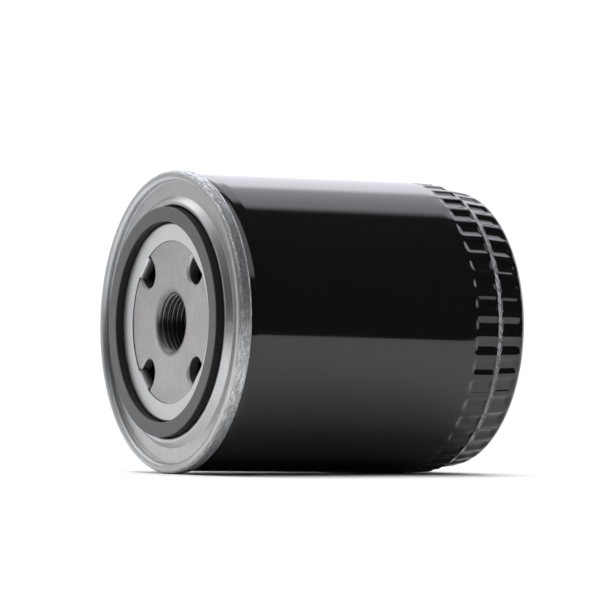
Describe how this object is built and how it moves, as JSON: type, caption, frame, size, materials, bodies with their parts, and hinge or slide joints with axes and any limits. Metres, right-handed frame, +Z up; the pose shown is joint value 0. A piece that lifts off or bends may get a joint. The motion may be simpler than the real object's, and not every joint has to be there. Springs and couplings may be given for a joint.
{
  "type": "spin-on oil filter",
  "caption": "Spin-on engine oil filter: fluted black can, seamed lid with rubber gasket, threaded plate with inlets, pleated element and sprung bypass valve.",
  "frame": {"origin": "centre of the gasket's sealing face, on the filter's axis", "axes": "+Y along the filter's axis towards the closed end, the gasket faces -Y, +Z is up with the filter lying on its side"},
  "size_m": [0.0948, 0.11, 0.0948],
  "materials": {
    "can_steel": "gloss black stove enamel on deep-drawn steel",
    "lid_zinc": "bright zinc-plated sheet",
    "plate_steel": "matt phosphated pressed steel",
    "gasket_rubber": "moulded nitrile rubber, lightly dusted on its face",
    "sealing_compound": "dried sealing compound",
    "valve_rubber": "moulded nitrile rubber",
    "element_steel": "bright tin-plated sheet",
    "adhesive": "cured plastisol adhesive",
    "paper": "resin-treated cellulose paper",
    "spring_steel": "drawn spring wire"
  },
  "bodies": {
    "shell": {"can": "can_steel", "seaming_lid": "lid_zinc", "thread_plate": "plate_steel", "gasket": "gasket_rubber", "seam_compound": "sealing_compound", "drainback_valve": "valve_rubber", "element_spring": "spring_steel"},
    "element": {"mount_end_cap": "element_steel", "dome_end_cap": "element_steel", "mount_adhesive": "adhesive", "dome_adhesive": "adhesive", "centre_tube": "element_steel", "filter_paper": "paper", "paper_seam_clip": "element_steel", "bypass_seat": "element_steel", "bypass_cage": "element_steel", "bypass_spring": "spring_steel", "spring_plate": "element_steel"},
    "bypass_valve": {"bypass_poppet": "element_steel", "bypass_seal": "valve_rubber"}
  },
  "joints": [
    {"name": "element_float", "type": "slide", "parent": "shell", "child": "element", "axis": [0, 1, 0], "range_m": [0, 0.0015], "stiffness_N_per_m": 12000, "springref_m": -0.005, "deforming": ["element_spring"]},
    {"name": "bypass_open", "type": "slide", "parent": "element", "child": "bypass_valve", "axis": [0, -1, 0], "range_m": [0, 0.0035], "stiffness_N_per_m": 1500, "springref_m": -0.007, "deforming": ["bypass_spring"]}
  ]
}
